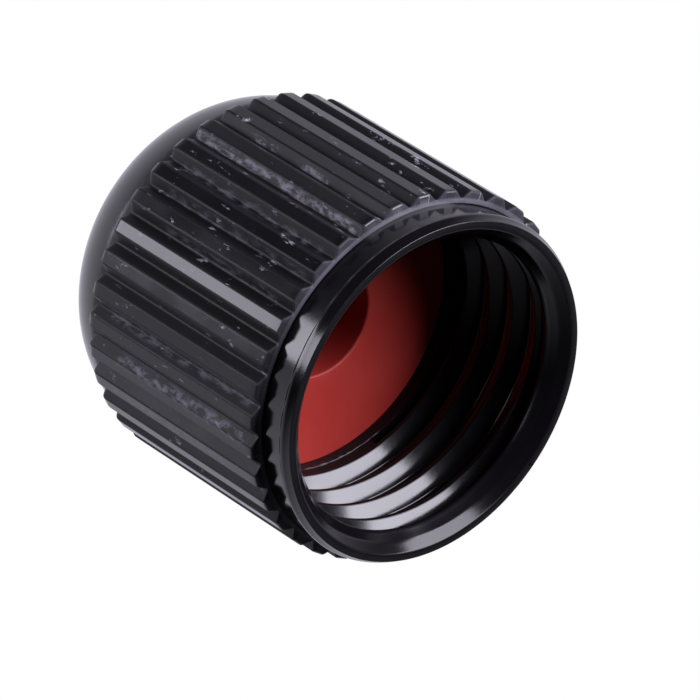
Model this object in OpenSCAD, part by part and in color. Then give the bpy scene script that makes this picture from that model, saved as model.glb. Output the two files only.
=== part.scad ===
// Domed tyre valve cap: a black moulding with lengthwise grip ribs, a rounded collar
// and a threaded mouth, and a red rubber washer that seals on the end of the valve.
// Units are millimetres. The cap stands on the rim of its mouth with the dome up.
// The origin is the centre of the mouth rim, and +Z runs along the axis to the dome.

/* [Thread] */
// Diameter at the root of the thread
major_d = 7.74; // [7.7:0.01:7.8]
// Depth of the thread, from its root to the plain bands at both ends of it
thread_depth = 0.39; // [0.34:0.01:0.42]
// Rise of the thread in one turn, 32 turns to the inch
pitch = 0.794; // [0.75:0.001:0.8]
// Width of the flat crest of the ridge
crest_w = 0.1; // [0.06:0.01:0.14]
// Height above the rim where the first groove starts
thread_from = 0.7; // [0.6:0.01:0.8]
// Length of the threaded stretch
thread_h = 3.04; // [2.8:0.01:3.2]
// Direction in which the ridge starts, in degrees
thread_turn = 310; // [0:5:355]

/* [Barrel and dome] */
// Thickness of the barrel between the root of the thread and the floors of the grooves
barrel_wall = 0.315; // [0.28:0.005:0.5]
// Radius of the rounding between the barrel and the top of the dome
shoulder_r = 2.5; // [2.2:0.01:2.9]
// Height of the centre of that rounding above the mouth
shoulder_z = 6.5; // [6.2:0.01:7]
// Steepest slope of the dome that still belongs to the rounding, in degrees
crown_from = 69; // [60:1:75]

/* [Grip ribs] */
// Number of ribs
rib_n = 36; // [24:1:40]
// Height of a rib above the groove beside it
rib_h = 0.2; // [0.12:0.01:0.22]
// Width of a rib's back
rib_back_w = 0.34; // [0.2:0.02:0.4]
// Width of a rib at its foot
rib_foot_w = 0.68; // [0.5:0.01:0.7]
// Height above the mouth where a rib's round nose starts
rib_nose_z = 6.6; // [6.2:0.01:6.8]
// Radius of that nose
rib_nose_r = 0.24; // [0.2:0.01:0.28]

/* [Collar and lip] */
// How far the collar lies inside the floors of the grooves
collar_step = 0.116; // [0.08:0.002:0.14]
// Height of the collar, from the rim to the ends of the ribs
collar_h = 0.9; // [0.8:0.01:1.1]
// How far the bead around the lip stands out from the collar
lip_proud = 0.06; // [0.02:0.01:0.08]
// Radius of that bead
lip_bead_r = 0.2; // [0.16:0.01:0.24]
// Width of the rim, from the bead's edge in to the mouth
rim_w = 0.3; // [0.26:0.01:0.34]
// Depth of the lead-in cone of the mouth
lead_h = 0.36; // [0.3:0.01:0.45]

/* [Seal] */
// Depth of the seal behind the end of the thread
seal_back = 0.24; // [0.15:0.01:0.35]
// Thickness of the seal
seal_h = 1.5; // [1.2:0.05:1.8]
// How far the seal's edge reaches in behind the plain band that holds it
seal_grip = 0.17; // [0.1:0.01:0.19]
// Diameter of the hole in the seal
seal_hole_d = 2.66; // [2.4:0.02:3]
// Space around the seal in its pocket
seal_clearance = 0.03; // [0.02:0.01:0.05]

/* [Hollow behind the seal] */
// Width of the ledge that backs the seal
ledge_w = 1.05; // [0.9:0.05:1.3]
// How far the hollow narrows on each side towards its blind end
hollow_taper = 1; // [0.8:0.1:1.2]
// Depth of the hollow behind the seal
hollow_h = 2.4; // [2:0.1:2.6]

/* [Hidden] */
major_r = major_d / 2;
minor_r = major_r - thread_depth;
thread_to = thread_from + thread_h;
floor_r = major_r + barrel_wall;
ribs_r = floor_r + rib_h;
// where a flank meets the barrel, and how much the flank spreads for each millimetre down
rib_foot_x = sqrt(floor_r * floor_r - rib_foot_w * rib_foot_w / 4);
rib_flank = (rib_foot_w - rib_back_w) / 2 / (ribs_r - rib_foot_x);
collar_r = floor_r - collar_step;
lip_r = collar_r + lip_proud;
mouth_r = lip_r - rim_w;
seal_z = thread_to + seal_back;
seal_r = minor_r + seal_grip;
pocket_r = seal_r + seal_clearance;
hollow_r = seal_r - ledge_w;
dome_c = floor_r - shoulder_r;
// the crown is a sphere that carries on from the rounding without a corner
crown_r = shoulder_r + dome_c / cos(crown_from);
crown_z = shoulder_z - dome_c * tan(crown_from);
crown_edge_r = crown_r * cos(crown_from);
// the ridge is let into the wall by this much, and its crest stays this far off the plain bands
ridge_sunk = 0.05;
crest_back = 0.02;
ridge_root_r = major_r + ridge_sunk;
ridge_crest_r = minor_r + crest_back;
// the flanks of the thread lean 30 degrees each way
ridge_root_w = crest_w + 2 * (ridge_root_r - ridge_crest_r) * tan(30);
// the ridge runs this far into the plain bands
ridge_over = 0.04;
ridge_steps = 48;
eps = 0.01;

// half section of the moulding's outside without its ribs, for turning about the axis
module turned_section() {
    translate([0, lip_bead_r]) square([collar_r, collar_h]);
    square([lip_r - lip_bead_r, lip_bead_r + eps]);
    translate([lip_r - lip_bead_r, lip_bead_r]) circle(r = lip_bead_r, $fn = 64);
    translate([0, collar_h]) square([floor_r, shoulder_z - collar_h]);
    intersection() {
        translate([dome_c, shoulder_z]) circle(r = shoulder_r, $fn = 256);
        translate([0, shoulder_z - eps]) square([floor_r + shoulder_r, 2 * shoulder_r]);
    }
    intersection() {
        translate([0, crown_z]) circle(r = crown_r, $fn = 512);
        translate([0, shoulder_z - eps]) square([crown_edge_r, crown_r]);
    }
}

// outline that the ribs' backs and round noses are turned to
module rib_envelope() {
    translate([0, collar_h]) square([ribs_r, rib_nose_z - collar_h]);
    translate([0, rib_nose_z - eps]) square([ribs_r - rib_nose_r, rib_nose_r]);
    intersection() {
        translate([ribs_r - rib_nose_r, rib_nose_z]) circle(r = rib_nose_r, $fn = 64);
        translate([0, rib_nose_z - eps]) square([ribs_r + eps, 2 * rib_nose_r]);
    }
}

// section of one rib: sloping flanks that run from the barrel up past the back
module rib_section() {
    over = rib_h / 4;
    polygon([[rib_foot_x - rib_h, -rib_back_w / 2], [rib_foot_x, -rib_foot_w / 2],
             [ribs_r + over, -rib_back_w / 2 + over * rib_flank],
             [ribs_r + over, rib_back_w / 2 - over * rib_flank],
             [rib_foot_x, rib_foot_w / 2], [rib_foot_x - rib_h, rib_back_w / 2]]);
}

// all the ribs, cut to the envelope
module grip_ribs() {
    intersection() {
        rotate_extrude($fn = 180) rib_envelope();
        for (i = [0 : rib_n - 1])
            rotate([0, 0, i * 360 / rib_n])
                translate([0, 0, collar_h])
                    linear_extrude(height = rib_nose_z + rib_nose_r - collar_h) rib_section();
    }
}

// one cross-section of the thread's ridge after a turn of a degrees
function ridge_ring(a) =
    let (z = thread_from - ridge_over + pitch * a / 360, t = thread_turn + a)
    [for (p = [[ridge_crest_r, -crest_w / 2], [ridge_root_r, -ridge_root_w / 2],
               [ridge_root_r, ridge_root_w / 2], [ridge_crest_r, crest_w / 2]])
        [p[0] * cos(t), p[0] * sin(t), z + p[1]]];

// the ridge of the thread: its section swept up a right-hand helix
module thread_ridge() {
    sweep = 360 * (thread_h + 2 * ridge_over) / pitch;
    n = ceil(sweep / 360 * ridge_steps);
    points = [for (i = [0 : n]) each ridge_ring(sweep * i / n)];
    sides = [for (i = [0 : n - 1], j = [0 : 3])
        each let (a = 4 * i + j, b = 4 * i + (j + 1) % 4) [[a, b, b + 4], [a, b + 4, a + 4]]];
    polyhedron(points, concat([[3, 2, 1, 0]], sides, [[4 * n, 4 * n + 1, 4 * n + 2, 4 * n + 3]]));
}

// everything that is hollow inside the moulding, before the ridge is put in
module inside() {
    translate([0, 0, -eps])
        cylinder(r1 = mouth_r + eps, r2 = minor_r, h = lead_h + eps, $fn = 180);
    cylinder(r = minor_r, h = seal_z + eps, $fn = 180);
    translate([0, 0, thread_from]) cylinder(r = major_r, h = thread_h, $fn = 180);
    translate([0, 0, seal_z]) cylinder(r = pocket_r, h = seal_h, $fn = 180);
    translate([0, 0, seal_z + seal_h - eps])
        cylinder(r1 = hollow_r, r2 = hollow_r - hollow_taper, h = hollow_h, $fn = 180);
}

module cap_body() {
    color([0.12, 0.11, 0.13]) {
        difference() {
            union() {
                rotate_extrude($fn = 180) turned_section();
                grip_ribs();
            }
            inside();
        }
        thread_ridge();
    }
}

module seal() {
    color([0.72, 0.24, 0.22])
        translate([0, 0, seal_z])
            difference() {
                cylinder(r = seal_r, h = seal_h, $fn = 180);
                translate([0, 0, -eps])
                    cylinder(d = seal_hole_d, h = seal_h + 2 * eps, $fn = 96);
            }
}

cap_body();
seal();
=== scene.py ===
"""Tyre valve cap with a red sealing washer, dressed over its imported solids.

The cap's moulding is one closed surface: dome, grip ribs, collar, lip, lead-in cone,
thread, seal pocket and blind hollow. The seal is a turned ring. Lengths in the code are
millimetres, and become metres when a mesh, a lamp or the camera is made. The cap stands
on its mouth, dome up.
"""

import bpy
import numpy as np
from mathutils import Matrix, Vector


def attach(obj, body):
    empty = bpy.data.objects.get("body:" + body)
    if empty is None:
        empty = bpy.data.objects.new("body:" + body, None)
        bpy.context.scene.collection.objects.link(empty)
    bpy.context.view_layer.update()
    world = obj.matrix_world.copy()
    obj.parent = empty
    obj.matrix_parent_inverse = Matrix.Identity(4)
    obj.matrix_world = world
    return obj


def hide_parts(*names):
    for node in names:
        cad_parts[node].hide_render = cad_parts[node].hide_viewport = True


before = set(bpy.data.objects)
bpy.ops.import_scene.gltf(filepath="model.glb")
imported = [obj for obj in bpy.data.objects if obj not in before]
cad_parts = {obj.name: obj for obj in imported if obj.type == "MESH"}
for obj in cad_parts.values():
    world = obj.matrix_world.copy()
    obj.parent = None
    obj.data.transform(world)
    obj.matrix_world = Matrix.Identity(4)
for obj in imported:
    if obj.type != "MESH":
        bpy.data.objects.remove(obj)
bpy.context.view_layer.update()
MM = 0.001
DEG = np.pi / 180.0

# Thread: radius of the crests and plain bands, radius of the root, rise in one turn,
# width of the flat crest
BAND_R, ROOT_R, PITCH, CREST_W = 3.48, 3.87, 0.794, 0.1
# heights where the groove starts and ends, and the direction in which the ridge starts
THREAD_FROM, THREAD_TO, THREAD_TURN = 0.5, 3.66, 310.0
# the height where the ridge starts: the groove runs out a little nearer the mouth
RIDGE_FROM = 0.66
# turns of the ridge to lay out, enough to pass both ends of the threaded stretch
TURNS = range(-2, 7)

# Barrel and dome: radius between the ribs, radius and height of the shoulder's arc, and the
# slope where the crown's sphere takes over
FLOOR_R, SHOULDER_R, SHOULDER_Z, CROWN_FROM = 4.185, 2.5, 6.5, 69.0

# Ribs: how many, how high, and where and how long their round noses are
RIB_N, RIB_H, NOSE_Z, NOSE_LENGTH = 36, 0.2, 6.6, 0.24

# Collar, lip and mouth
COLLAR_R, COLLAR_H, LIP_R, MOUTH_R = 4.069, 0.9, 4.129, 3.829

# Seal, its pocket, and the hollow behind it
SEAL_Z, SEAL_H, SEAL_R, SEAL_HOLE_R = 3.98, 1.5, 3.65, 1.33
POCKET_R, HOLLOW_R, HOLLOW_END_R, HOLLOW_H = 3.68, 2.6, 1.6, 2.39

# Columns of points round each surface
DOME_COLUMNS, MOUTH_COLUMNS, HOLLOW_COLUMNS, SEAL_COLUMNS = 360, 480, 180, 240

# the direction of the cap that faces the camera, in degrees
FACING = -92.5


# Surfaces

def arc(centre, radius, start, stop, steps):
    """Points of an arc about centre, from start to stop degrees, as (r, z) rows."""
    a = np.radians(np.linspace(start, stop, steps))
    return np.stack([centre[0] + radius * np.cos(a), centre[1] + radius * np.sin(a)], 1)


def even(columns):
    """Directions of evenly spread columns, in degrees, the first one repeated at the end."""
    return np.linspace(0.0, 360.0, columns + 1)


def ring(turn, r, z):
    """One row of points (r cos turn, r sin turn, z), where r and z may vary with turn."""
    t = np.radians(turn)
    r, z = np.broadcast_to(r, t.shape), np.broadcast_to(z, t.shape)
    return np.stack([r * np.cos(t), r * np.sin(t), z], 1)


def turned(profile, columns):
    """Rows of a surface of revolution: each (r, z) of the profile carried round the axis."""
    return [ring(even(columns), r, z) for r, z in profile]


def bridge(rows):
    """Vertices and triangles of a surface through rows of points.

    Rows of equal length are joined point to point. Where the lengths differ, each edge
    of the longer row goes to the nearest point of the shorter one by direction, and
    each edge of the shorter row goes to the point of the longer one where that changes.
    """
    start = np.cumsum([0] + [len(r) for r in rows])
    tris = []
    for k in range(len(rows) - 1):
        a, b, na, nb = start[k], start[k + 1], len(rows[k]) - 1, len(rows[k + 1]) - 1
        if na == nb:
            i = np.arange(na)
            tris += [np.stack([a + i, a + i + 1, b + i + 1], 1), np.stack([a + i, b + i + 1, b + i], 1)]
            continue
        flip = na < nb
        fine, coarse, nf, nc = (b, a, nb, na) if flip else (a, b, na, nb)
        f = rows[k + 1] if flip else rows[k]
        turn = np.degrees(np.unwrap(np.arctan2(f[:, 1], f[:, 0])))
        near = np.rint((turn[:-1] + turn[1:]) / 2 / 360.0 * nc).astype(int)
        i = np.arange(nf)
        t1 = np.stack([fine + i, fine + i + 1, coarse + near % nc], 1)
        step = near[0] + np.arange(nc)
        j = np.searchsorted(near, step, side="right")
        t2 = np.stack([coarse + step % nc, fine + j, coarse + (step + 1) % nc], 1)
        t = np.concatenate([t1, t2])
        tris.append(t[:, ::-1] if flip else t)
    return np.concatenate(rows), np.concatenate(tris)


def weld(v, t):
    """Points at one place become one, triangles that shrank to a line go, and the rest face out.

    The sum of a . (b x c) over the triangles is six times the volume inside them, and is
    negative where they face in.
    """
    same_place = 1e-5
    key = np.round(v / same_place).astype(np.int64)
    _, first, index = np.unique(key, axis=0, return_index=True, return_inverse=True)
    t = index.reshape(-1)[t]
    t = t[(t[:, 0] != t[:, 1]) & (t[:, 1] != t[:, 2]) & (t[:, 2] != t[:, 0])]
    v = v[first]
    a, b, c = v[t[:, 0]], v[t[:, 1]], v[t[:, 2]]
    if np.einsum("ij,ij->i", np.cross(a, b), c).sum() < 0:
        t = t[:, ::-1]
    return v, t


def make_piece(name, rows, sharp):
    """A closed mesh through the rows, smooth except along edges sharper than so many degrees."""
    v, t = weld(*bridge(rows))
    mesh = bpy.data.meshes.new(name)
    mesh.vertices.add(len(v))
    mesh.vertices.foreach_set("co", (v * MM).astype(np.float32).ravel())
    mesh.loops.add(3 * len(t))
    mesh.loops.foreach_set("vertex_index", t.astype(np.int32).ravel())
    mesh.polygons.add(len(t))
    mesh.polygons.foreach_set("loop_start", np.arange(0, 3 * len(t), 3, dtype=np.int32))
    mesh.update(calc_edges=True)
    mesh.validate()
    mesh.polygons.foreach_set("use_smooth", np.ones(len(t), dtype=bool))
    mesh.set_sharp_from_angle(angle=np.radians(sharp))
    piece = bpy.data.objects.new(name, mesh)
    bpy.context.scene.collection.objects.link(piece)
    return piece


def dome_radius(z):
    """Radius of the moulding at height z above the shoulder's centre, on the shoulder's arc."""
    rise = np.clip(np.asarray(z) - SHOULDER_Z, 0.0, SHOULDER_R)
    return FLOOR_R - SHOULDER_R + np.sqrt(SHOULDER_R ** 2 - rise ** 2)


def rib_section():
    """Half of one rib's section as (distance from its middle, height) rows.

    A flat back, a rounded corner, a sloping flank, and a small fillet where it meets the
    flank of the next rib. On the round barrel a flat back at distance x from its middle
    lies (w^2 - x^2) / 2R lower than at its edge w.
    """
    corner, slope, foot = 0.08, 48.0, 0.05
    # half of the narrow flat between two ribs, and the strip where the back starts to bend
    flat, bend = 0.006, 0.015
    half = np.pi * FLOOR_R / RIB_N - flat
    tilt, lean = np.radians(slope), np.tan(np.radians(slope))
    # the back takes the width that the corner, flank and fillet leave
    fixed = (corner + foot) * (1 - np.cos(tilt))
    back_w = half - (corner + foot) * np.sin(tilt) - (RIB_H - fixed) / lean
    x = np.array([0.0, back_w - bend])
    back = np.stack([x, RIB_H - (back_w ** 2 - x ** 2) / (2 * (FLOOR_R + RIB_H))], 1)
    edge = arc((back_w, RIB_H - corner), corner, 90.0, 90.0 - slope, 8)
    fillet = arc((half, foot), foot, 270.0 - slope, 270.0, 6)
    return np.concatenate([back, edge, fillet, [[half + flat, 0.0]]])


def rib_columns(narrow=1.0):
    """Directions and heights of all the columns round the barrel.

    The rib's section is mirrored and repeated, and its distance x becomes the angle
    x / FLOOR_R. narrow squeezes the rib's own width and stretches the grooves between,
    for the round nose.
    """
    half = rib_section()
    edge = half[-2, 0]
    x, mid = half[:, 0], half[-1, 0]
    x = np.where(x <= edge, x * narrow, mid - (mid - x) * (mid - edge * narrow) / (mid - edge))
    full_x = np.concatenate([-x[::-1], x[1:-1]])
    full_h = np.concatenate([half[::-1, 1], half[1:-1, 1]])
    step = 360.0 / RIB_N
    turn = (np.arange(RIB_N)[:, None] * step + np.degrees(full_x / FLOOR_R)[None, :]).ravel()
    height = np.tile(full_h, RIB_N)
    return np.append(turn, turn[0] + 360.0), np.append(height, height[0])


def barrel_rows():
    """The ribbed barrel, from the collar's top up to the tips of the ribs' noses.

    Its radius in each direction is the floor's plus the rib's height there.
    """
    turn, h = rib_columns()
    rows = [ring(turn, COLLAR_R, COLLAR_H)]
    # the ribs end square to the axis, with a corner that is rounder on the ribs
    corner = 0.02 + 0.05 * h / RIB_H
    for a in np.radians(np.linspace(0.0, 90.0, 6)):
        rows.append(ring(turn, FLOOR_R + h - corner * (1 - np.sin(a)), COLLAR_H + corner * (1 - np.cos(a))))
    rows += [ring(turn, FLOOR_R + h, z) for z in (1.2, 3.0, 5.0, SHOULDER_Z)]
    # the nose is a quarter of a ball: height and width shrink with the cosine of its angle
    for a in np.radians(np.array([0.0, 14.0, 28.0, 42.0, 55.0, 66.0, 75.0, 90.0])):
        z = NOSE_Z + NOSE_LENGTH * np.sin(a)
        t, h = rib_columns(max(np.cos(a), 0.25))
        rows.append(ring(t, dome_radius(z) + h * np.cos(a), z))
    return rows


def dome_profile():
    """From just above the noses to the pole: the shoulder's arc, then the crown's sphere.

    The sphere is tangent to the arc where the two meet.
    """
    clear = 0.06
    mid = FLOOR_R - SHOULDER_R
    first = np.degrees(np.arcsin((NOSE_Z + NOSE_LENGTH + clear - SHOULDER_Z) / SHOULDER_R))
    shoulder = arc((mid, SHOULDER_Z), SHOULDER_R, first, CROWN_FROM, 18)
    lean = np.radians(CROWN_FROM)
    crown_r = SHOULDER_R + mid / np.cos(lean)
    crown = arc((0.0, SHOULDER_Z - mid * np.tan(lean)), crown_r, CROWN_FROM, 90.0, 12)[1:]
    crown[-1, 0] = 0.0
    return np.concatenate([shoulder, crown])


def mouth_profile():
    """From the collar's wall down over the lip, across the rim and up the lead-in cone.

    The lip bulges out of the wall at a crease, then a chamfer leads to a narrow flat rim.
    The rim's inner edge is round, and the cone grows a little steeper towards the thread.
    """
    bulge, widest, slope = 0.15, 0.215, 32.0
    # heights where the chamfer ends, radius of the corner below it and of the rim's inner edge
    chamfer_z, corner_r, edge_r = 0.03, 0.018, 0.085
    wall = np.array([[COLLAR_R, z] for z in (COLLAR_H - 0.04, 0.6, 0.33, 0.3)])
    crease = np.array([[COLLAR_R + 0.012, 0.283], [LIP_R - 0.026, 0.262], [LIP_R - 0.007, 0.24]])
    lip = arc((LIP_R - bulge, widest), bulge, 0.0, -slope, 6)
    end_r = lip[-1, 0] - (lip[-1, 1] - chamfer_z) * np.tan(np.radians(slope))
    corner = arc((end_r - 0.02, corner_r), corner_r, -36.0, -90.0, 4)
    edge = arc((MOUTH_R + 0.06, edge_r), edge_r, -90.0, -138.0, 8)
    cone = np.array([[3.70, 0.146], [3.66, 0.184], [3.63, 0.226], [3.53, 0.38], [BAND_R + 0.008, 0.435],
                     [BAND_R, 0.455], [BAND_R, THREAD_FROM]])
    return np.concatenate([wall, crease, lip, [[end_r, chamfer_z]], corner, edge, cone])


def thread_section():
    """Half of the thread's section as (distance from the crest's middle, radius) rows.

    A flat crest with a soft corner, a straight 30 degree flank, a small fillet and a flat
    root that reaches half way to the next turn.
    """
    crest, corner, fillet, soft = BAND_R + 0.02, 0.012, 0.04, 0.007
    flank, tilt = np.tan(30.0 * DEG), 60.0 * DEG
    start = np.array([[0.0, crest], [CREST_W / 2 - soft, crest]])
    bend = arc((CREST_W / 2 - soft, crest + corner), corner, -90.0, -30.0, 4)[1:]
    foot = CREST_W / 2 + (ROOT_R - crest) * flank + fillet * np.tan(tilt / 2)
    hollow = arc((foot, ROOT_R - fillet), fillet, 150.0, 90.0, 5)
    return np.concatenate([start, bend, hollow, [[(foot + PITCH / 2) / 2, ROOT_R], [PITCH / 2, ROOT_R]]])


def thread_rows(columns):
    """The threaded wall on a grid that climbs with the ridge.

    Each row keeps its distance from the ridge's crest while its height grows by one
    pitch in a turn. Outside the threaded stretch it is laid on the plain band's edge.
    """
    turn = even(columns)
    half = thread_section()
    section = np.concatenate([half[:0:-1] * [-1, 1], half])
    rows = []
    for k in TURNS:
        for away, radius in section[1:]:
            z = RIDGE_FROM + PITCH * ((turn - THREAD_TURN) / 360.0 + k) + away
            inside = (z > THREAD_FROM) & (z < THREAD_TO)
            r = np.where(inside, radius, BAND_R)
            rows.append(ring(turn, r, np.clip(z, THREAD_FROM, THREAD_TO)))
    return rows


def ragged(turn, seed, waves):
    """A closed uneven curve round the axis between -1 and 1: a sum of sines of random size."""
    rng = np.random.default_rng(seed)
    n = np.arange(1, waves + 1)
    size, phase = rng.normal(size=waves), rng.uniform(0, 2 * np.pi, waves)
    y = (size[:, None] * np.sin(n[:, None] * np.radians(turn)[None, :] + phase[:, None])).sum(0)
    return y / np.abs(y).max()


def band_rows(columns):
    """The plain band behind the thread, with a thin ragged flash where the thread's core ended.

    The flash stands in from the band by its burr, which follows one ragged curve, and its
    height above the rim follows another.
    """
    turn = even(columns)
    # it is tallest on the side away from the camera and to its left
    side = np.clip(3.0 * np.cos(np.radians(turn - FACING + 107.0)) - 1.7, 0.15, 1.0)
    burr = (0.022 + 0.018 * ragged(turn, 5, 130)) * side
    place = THREAD_TO + 0.01 + 0.01 * ragged(turn, 8, 90)
    rows = [ring(turn, BAND_R, place), ring(turn, BAND_R - burr, place + 0.8 * burr)]
    rows.append(ring(turn, BAND_R - 0.9 * burr, place + 0.05))
    rows += [ring(turn, BAND_R, z) for z in (3.84, 3.9, SEAL_Z - 0.02)]
    return rows


def hollow_profile():
    """The seal's pocket, the ledge behind it and the blind hollow up to its end."""
    back = SEAL_Z + SEAL_H
    return np.array([[BAND_R, SEAL_Z], [POCKET_R, SEAL_Z], [POCKET_R, back], [HOLLOW_R, back],
                     [HOLLOW_END_R, back + HOLLOW_H], [0.0, back + HOLLOW_H]])


def moulding_rows():
    """All the rows of the cap's moulding, from the dome's pole round to the hollow's end."""
    rows = turned(dome_profile()[::-1], DOME_COLUMNS)
    rows += barrel_rows()[::-1]
    rows += turned(mouth_profile(), MOUTH_COLUMNS)
    rows += thread_rows(MOUTH_COLUMNS)
    rows += band_rows(MOUTH_COLUMNS)
    rows += turned(hollow_profile(), HOLLOW_COLUMNS)
    return rows


def seal_rows():
    """The washer: a ring turned from a section with flat faces, a straight hole and round edges."""
    edge, clear = 0.06, 0.2
    low, high = SEAL_Z, SEAL_Z + SEAL_H
    face = np.array([[r, low] for r in np.linspace(SEAL_R - edge, SEAL_HOLE_R + edge, 8)])
    hole = arc((SEAL_HOLE_R + edge, low + edge), edge, 270.0, 180.0, 7)
    wall = np.array([[SEAL_HOLE_R, z] for z in np.linspace(low + clear, high - clear, 5)])
    back = arc((SEAL_HOLE_R + edge, high - edge), edge, 180.0, 90.0, 7)
    rim = np.concatenate([arc((SEAL_R - edge, high - edge), edge, 90.0, 0.0, 7),
                          arc((SEAL_R - edge, low + edge), edge, 0.0, -90.0, 7)])
    return turned(np.concatenate([face, hole, wall, back, rim, face[:1]]), SEAL_COLUMNS)


# Materials

# scuffs on the barrel: (degrees round from the front, half width in degrees, from height, to
# height, strength). Angles run from -272.5 to 87.5 degrees.
SCUFFS = [(-28.8, 1.4, 1.0, 6.7, 1.0), (-38.5, 1.0, 3.1, 3.8, 0.7), (-38.5, 1.0, 4.8, 5.6, 0.7),
          (-17.5, 1.8, 1.4, 6.2, 0.3), (-8.5, 1.6, 1.2, 6.0, 0.2), (1.2, 1.6, 1.5, 5.4, 0.25),
          (32.5, 2.2, 1.2, 6.2, 0.35), (45.0, 2.2, 1.2, 5.7, 0.6), (57.5, 2.0, 2.0, 6.0, 0.3),
          (-112.0, 2.0, 1.5, 4.5, 0.5)]

# a Map Range node with this setting fades smoothly, and holds its end values outside
SMOOTH = {"interpolation_type": "SMOOTHSTEP"}


def srgb(code):
    """A hex colour as linear red, green, blue and alpha."""
    c = np.array([int(code[i:i + 2], 16) for i in (0, 2, 4)]) / 255.0
    c = np.where(c <= 0.04045, c / 12.92, ((c + 0.055) / 1.055) ** 2.4)
    return (*c.tolist(), 1.0)


def node_adder(tree):
    """Empties a node tree and returns the one helper that adds a node to it.

    inputs is a list by position or a dict by name. A value is set on its socket, a socket
    is linked to it, and a node stands for its first output in use.
    """
    tree.nodes.clear()

    def add(kind, inputs=(), **settings):
        node = tree.nodes.new("ShaderNode" + kind)
        for key, value in settings.items():
            setattr(node, key, value)
        for key, value in (inputs.items() if isinstance(inputs, dict) else enumerate(inputs)):
            if isinstance(value, bpy.types.Node):
                value = next(out for out in value.outputs if out.enabled)
            if isinstance(value, bpy.types.NodeSocket):
                tree.links.new(value, node.inputs[key])
            else:
                node.inputs[key].default_value = value
        return node
    return add


def new_material(name):
    """An empty node material, its helper, and the place on the piece in millimetres."""
    mat = bpy.data.materials.new(name)
    mat.use_nodes = True
    add = node_adder(mat.node_tree)
    place = add("VectorMath", [add("TexCoord").outputs["Object"], (1 / MM,) * 3], operation="MULTIPLY")
    return mat, add, place


def window(add, value, rise, fall):
    """A mask that fades in as value passes from rise[0] to rise[1], and out from fall[0] to fall[1]."""
    up = add("MapRange", [value, *rise], **SMOOTH)
    down = add("MapRange", [value, *fall, 1.0, 0.0], **SMOOTH)
    return add("Math", [up, down], operation="MULTIPLY")


def streak(add, turn, height, at, half_width, low, high):
    """A soft line along the barrel, at so many degrees from the front, between two heights."""
    soft_end = 0.15
    off = add("Math", [turn, (FACING - at) * DEG], operation="SUBTRACT")
    off = add("Math", [off], operation="ABSOLUTE")
    across = add("MapRange", [off, 0.25 * half_width * DEG, half_width * DEG, 1.0, 0.0], **SMOOTH)
    along = window(add, height, (low - soft_end, low + soft_end), (high - soft_end, high + soft_end))
    return add("Math", [across, along], operation="MULTIPLY")


def scuffed(add, turn, z):
    """How scuffed the barrel is: sparse flecks, and broken lines along some ribs and grooves.

    The pattern's cells are about three times longer along the barrel than across it.
    """
    around = add("Math", [turn, FLOOR_R], operation="MULTIPLY")
    along = add("Math", [z, 0.3], operation="MULTIPLY")
    cells = add("CombineXYZ", [around, along])
    crumbs = add("TexNoise", {"Vector": cells, "Scale": 9.0, "Detail": 3.0, "Roughness": 0.65})
    broken = add("MapRange", [crumbs, 0.42, 0.66], **SMOOTH)
    flecks = add("TexNoise", {"Vector": cells, "Scale": 5.2, "Detail": 4.0, "Roughness": 0.7})
    scuffs = add("MapRange", [flecks, 0.62, 0.70], **SMOOTH)
    for at, half_width, low, high, strength in SCUFFS:
        line = streak(add, turn, z, at, half_width, low, high)
        line = add("Math", [line, strength], operation="MULTIPLY")
        line = add("Math", [line, broken], operation="MULTIPLY")
        scuffs = add("Math", [scuffs, line], operation="MAXIMUM")
    return scuffs


def painted_highlight_ring(add, radius, z, cloud):
    """How pale the ribs' ends are painted: a ring of painted highlight on the step above the collar, weaker
    outside the floor.
    """
    at_step = window(add, z, (COLLAR_H - 0.03, COLLAR_H - 0.01), (COLLAR_H + 0.02, COLLAR_H + 0.07))
    past_collar = add("MapRange", [radius, COLLAR_R + 0.01, COLLAR_R + 0.04], **SMOOTH)
    weaker = add("MapRange", [radius, FLOOR_R - 0.01, FLOOR_R + 0.05, 1.0, 0.35], **SMOOTH)
    level = add("MapRange", [cloud, 0.3, 0.7, 0.2, 0.34], **SMOOTH)
    for part in (past_collar, weaker, level):
        at_step = add("Math", [at_step, part], operation="MULTIPLY")
    return at_step


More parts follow.
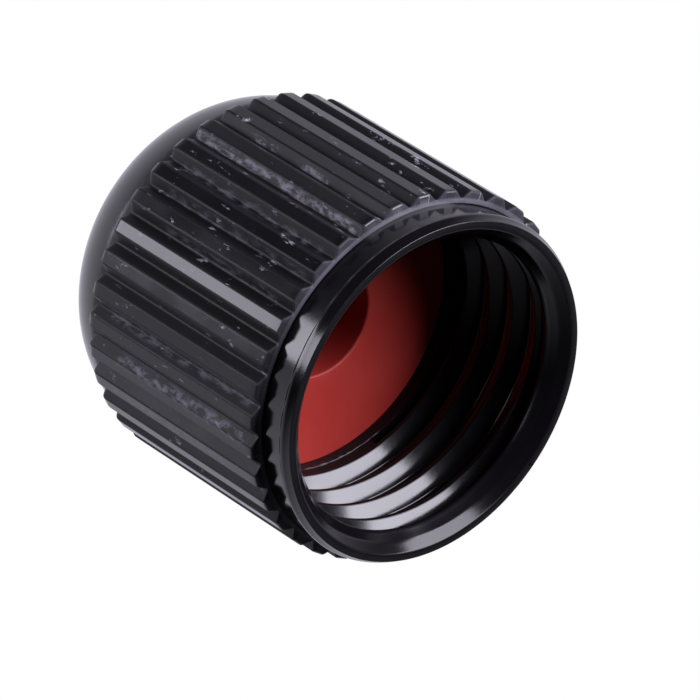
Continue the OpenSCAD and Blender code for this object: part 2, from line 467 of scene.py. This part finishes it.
def black_plastic():
    """Injection-moulded black polyamide, glossy where it is handled and duller in the grooves.

    Whitish scuffs lie along some ribs and grooves, in broken lines, and a pale ring of painted
    highlight runs round the ends of the ribs.
    """
    mat, add, place = new_material("moulded_black_nylon")
    x, y, z = add("SeparateXYZ", [place]).outputs
    radius = add("VectorMath", [add("CombineXYZ", [x, y])], operation="LENGTH")
    turn = add("Math", [y, x], operation="ARCTAN2")
    cloud = add("TexNoise", {"Vector": place, "Scale": 0.9, "Detail": 3.0, "Roughness": 0.5})

    # the barrel, and on it the flanks, which start this many degrees from a rib's middle
    on_barrel = add("MapRange", [radius, COLLAR_R + 0.07, COLLAR_R + 0.1], **SMOOTH)
    off_middle = add("Math", [turn, np.pi / RIB_N], operation="PINGPONG")
    below_back = add("MapRange", [off_middle, 1.58 * DEG, 1.74 * DEG], **SMOOTH)
    flank = add("Math", [below_back, on_barrel], operation="MULTIPLY")
    # at a glancing angle the flanks mirror more
    facing = add("LayerWeight", {"Blend": 0.5}).outputs["Facing"]
    glance = add("Math", [flank, add("MapRange", [facing, 0.55, 0.9], **SMOOTH)], operation="MULTIPLY")
    # the lead-in cone, the rubbed crests and plain bands of the thread, and the flat rim
    cone = window(add, radius, (BAND_R + 0.03, BAND_R + 0.08), (3.9, 3.95))
    low = add("MapRange", [z, 0.4, 0.45, 1.0, 0.0], **SMOOTH)
    cone = add("Math", [cone, low], operation="MULTIPLY")
    crest = add("MapRange", [radius, BAND_R + 0.025, BAND_R + 0.05, 1.0, 0.0], **SMOOTH)
    rim = add("MapRange", [z, 0.004, 0.02, 1.0, 0.0], **SMOOTH)

    scuff = add("Math", [scuffed(add, turn, z), on_barrel], operation="MULTIPLY")
    scuff = add("Math", [scuff, 0.8], operation="MULTIPLY")
    # the scuffs, and the ring of painted highlight at the ribs' ends
    scuffs_and_painted_ring = add("Math", [scuff, painted_highlight_ring(add, radius, z, cloud)], operation="MAXIMUM")
    tint = add("Mix", {"Factor": cloud, "A": srgb("0a090b"), "B": srgb("100e12")}, data_type="RGBA")
    # the scuffs and the painted highlight ring turn the plastic pale
    tint = add("Mix", {"Factor": scuffs_and_painted_ring, "A": tint, "B": srgb("a5a2b0")}, data_type="RGBA")

    # each place adds its own share to the roughness and to the strength of the mirroring
    rough = add("MapRange", [cloud, 0.3, 0.7, 0.12, 0.17], **SMOOTH)
    for mask, share in ((on_barrel, 0.05), (flank, 0.34), (scuffs_and_painted_ring, 0.3), (rim, 0.16), (crest, 0.1)):
        rough = add("Math", [mask, share, rough], operation="MULTIPLY_ADD")
    mirror = add("Math", [on_barrel, -0.13, 0.5], operation="MULTIPLY_ADD")
    for mask, share in ((flank, -0.17), (glance, 0.45), (cone, -0.24), (crest, -0.34)):
        mirror = add("Math", [mask, share, mirror], operation="MULTIPLY_ADD")

    # a fine moulded grain, 4 micrometres deep
    grain = add("TexNoise", {"Vector": place, "Scale": 26.0, "Detail": 2.0, "Roughness": 0.6})
    bump = add("Bump", {"Height": grain, "Strength": 0.12, "Distance": 0.004 * MM})
    plastic = add("BsdfPrincipled", {"Base Color": tint, "Roughness": rough, "IOR": 1.53,
                                     "Specular IOR Level": mirror, "Normal": bump})
    add("OutputMaterial", {"Surface": plastic})
    return mat


def red_rubber():
    """Moulded red rubber washer: matt, faintly mottled, with a fine skin."""
    mat, add, place = new_material("red_nitrile_rubber")
    cloud = add("TexNoise", {"Vector": place, "Scale": 0.7, "Detail": 3.0, "Roughness": 0.5})
    tint = add("Mix", {"Factor": cloud, "A": srgb("a92a23"), "B": srgb("b7362e")}, data_type="RGBA")
    rough = add("MapRange", [cloud, 0.3, 0.7, 0.48, 0.6], **SMOOTH)
    # the skin is 6 micrometres deep
    skin = add("TexNoise", {"Vector": place, "Scale": 16.0, "Detail": 3.0, "Roughness": 0.6})
    bump = add("Bump", {"Height": skin, "Strength": 0.2, "Distance": 0.006 * MM})
    rubber = add("BsdfPrincipled", {"Base Color": tint, "Roughness": rough, "IOR": 1.5, "Normal": bump})
    add("OutputMaterial", {"Surface": rubber})
    return mat


# Pieces

# edges sharper than this many degrees stay crisp
CRISP = 40.0

moulding = make_piece("cap_moulding", moulding_rows(), CRISP)
moulding.data.materials.append(black_plastic())
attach(moulding, "root")
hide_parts("cap_body")

washer = make_piece("seal_washer", seal_rows(), CRISP)
washer.data.materials.append(red_rubber())
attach(washer, "root")
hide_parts("seal")


# Camera

# the photograph looks up into the mouth: TILT is the sine of the angle of the line of sight
# above the level, ROLL turns the picture, in radians
TILT, ROLL = 0.6757, 0.56
LEVEL = np.sqrt(1.0 - TILT ** 2)
# pixels to the millimetre, the pixel where the middle of the lip shows, and the distance of the
# lens in pixels. The lip is aimed at where it is widest, this high above the rim.
PX_MM, CENTRE_X, CENTRE_Y, AWAY_PX, AIM_Z = 46.0, 429.736, 389.208, 7643.6, 0.2
PICTURE_PX, SENSOR_W = 700, 36.0


def round_axis(turn):
    """The level direction that many degrees round from the one that faces the camera."""
    t = np.radians(FACING - turn)
    return np.array([np.cos(t), np.sin(t), 0.0])


FRONT, SIDE, UP = round_axis(0.0), round_axis(90.0), np.array([0.0, 0.0, 1.0])

# directions in the picture, and the line of sight
RIGHT = -TILT * np.cos(ROLL) * FRONT - np.sin(ROLL) * SIDE - LEVEL * np.cos(ROLL) * UP
DOWN = -TILT * np.sin(ROLL) * FRONT + np.cos(ROLL) * SIDE - LEVEL * np.sin(ROLL) * UP
AHEAD = -LEVEL * FRONT + TILT * UP


def turn_to(side, top, back):
    """A rotation that carries X, Y and Z to the three directions."""
    return Matrix([side.tolist(), top.tolist(), back.tolist()]).transposed().to_4x4()


def add_camera():
    """A long lens on the line of sight that was fitted to the cap's outline in the photograph."""
    eye = (AIM_Z * UP - (CENTRE_X - PICTURE_PX / 2) / PX_MM * RIGHT
           - (CENTRE_Y - PICTURE_PX / 2) / PX_MM * DOWN - AWAY_PX / PX_MM * AHEAD)
    data = bpy.data.cameras.new("camera")
    data.sensor_width = SENSOR_W
    data.lens = SENSOR_W * AWAY_PX / PICTURE_PX
    data.clip_start = 0.01
    camera = bpy.data.objects.new("camera", data)
    bpy.context.scene.collection.objects.link(camera)
    camera.matrix_world = Matrix.Translation(Vector((eye * MM).tolist())) @ turn_to(RIGHT, -DOWN, -AHEAD)
    bpy.context.scene.camera = camera


add_camera()


# Light

# the lamps are aimed at the middle of the cap
CENTRE = np.array([0.0, 0.0, 4.0])


def softbox(name, towards, distance, width, height, radiance, up=UP, mirrored=True, fills=True):
    """A soft rectangular lamp, so far from the cap in the direction towards, with its face to it.

    Its power is pi times its area times the radiance, for the same brightness all over.
    mirrored says whether reflections show it, and fills whether it lights matt surfaces.
    """
    data = bpy.data.lights.new(name, "AREA")
    data.shape = "RECTANGLE"
    data.size, data.size_y = width * MM, height * MM
    data.energy = radiance * np.pi * width * height * MM * MM
    data.color = srgb("f3f1ff")[:3]
    lamp = bpy.data.objects.new(name, data)
    bpy.context.scene.collection.objects.link(lamp)
    towards = np.asarray(towards) / np.linalg.norm(towards)
    side = np.cross(up, towards)
    side = side / np.linalg.norm(side)
    place = Matrix.Translation(Vector(((CENTRE + distance * towards) * MM).tolist()))
    lamp.matrix_world = place @ turn_to(side, np.cross(towards, side), towards)
    lamp.visible_glossy, lamp.visible_diffuse = mirrored, fills


softbox("left_strip", 0.94 * round_axis(16.2) + 0.34 * UP, distance=60.0, width=22.5, height=102.0,
        radiance=6.6, fills=False)
softbox("right_box", 0.016 * FRONT - 0.71 * SIDE - 0.704 * UP, distance=60.0, width=42.5, height=46.0,
        radiance=12.3, up=0.594 * FRONT - 0.578 * SIDE + 0.559 * UP)
softbox("front_fill", 0.8 * FRONT - 0.1 * SIDE + 0.6 * UP, distance=60.0, width=40.0, height=40.0,
        radiance=5.0, mirrored=False)
softbox("sky_fill", UP, distance=900.0, width=1500.0, height=1500.0, radiance=1.0, up=FRONT, mirrored=False)


def add_world():
    """The studio: white to the lens, and in reflections white behind the cap and dark before it.

    In reflections the white backdrop fades out across the direction behind, which points
    past the cap and a little downwards in the picture, and again below the level of the
    mouth.
    """
    world = bpy.data.worlds.new("studio")
    bpy.context.scene.world = world
    world.use_nodes = True
    add = node_adder(world.node_tree)
    behind = AHEAD + 0.5 * DOWN
    direction = add("TexCoord").outputs["Generated"]
    along = add("VectorMath", [direction, behind.tolist()], operation="DOT_PRODUCT")
    height = add("SeparateXYZ", [direction]).outputs["Z"]
    backdrop = add("Math", [add("MapRange", [along, -0.52, 0.3, 0.04, 0.9], **SMOOTH),
                            add("MapRange", [height, -0.7, 0.3, 0.1, 1.0], **SMOOTH)], operation="MULTIPLY")

    # white where the lens sees it, the backdrop in reflections, and a faint fill elsewhere
    path = add("LightPath").outputs
    glossy = path["Is Glossy Ray"]
    seen = add("Math", [path["Is Camera Ray"], path["Is Transmission Ray"]], operation="MAXIMUM")
    lit = add("Math", [1.0, add("Math", [seen, glossy], operation="MAXIMUM")], operation="SUBTRACT")
    level = add("Math", [glossy, backdrop, seen], operation="MULTIPLY_ADD")
    level = add("Math", [lit, 0.03, level], operation="MULTIPLY_ADD")
    tint = add("Mix", {"Factor": glossy, "A": (1.0, 1.0, 1.0, 1.0), "B": srgb("f2f0ff")}, data_type="RGBA")
    add("OutputWorld", {"Surface": add("Background", {"Color": tint, "Strength": level})})


def add_floor():
    """A pale floor under the mouth. It is clear from below, and lets light through to the cap."""
    reach = 400.0 * MM
    mesh = bpy.data.meshes.new("floor")
    corners = [(-reach, -reach, 0), (reach, -reach, 0), (reach, reach, 0), (-reach, reach, 0)]
    mesh.from_pydata(corners, [], [(0, 1, 2, 3)])
    floor = bpy.data.objects.new("floor", mesh)
    bpy.context.scene.collection.objects.link(floor)
    mat, add, place = new_material("pale_floor")
    cloud = add("TexNoise", {"Vector": place, "Scale": 0.06, "Detail": 2.0, "Roughness": 0.5})
    tint = add("Mix", {"Factor": cloud, "A": srgb("f2f2f3"), "B": srgb("f8f8f8")}, data_type="RGBA")
    top = add("BsdfDiffuse", {"Color": tint})
    below = add("NewGeometry").outputs["Backfacing"]
    add("OutputMaterial", {"Surface": add("MixShader", [below, top, add("BsdfTransparent")])})
    mesh.materials.append(mat)
    floor.visible_shadow = floor.visible_diffuse = floor.visible_glossy = floor.visible_transmission = False


add_world()
add_floor()
bpy.context.scene.view_settings.view_transform = "Standard"
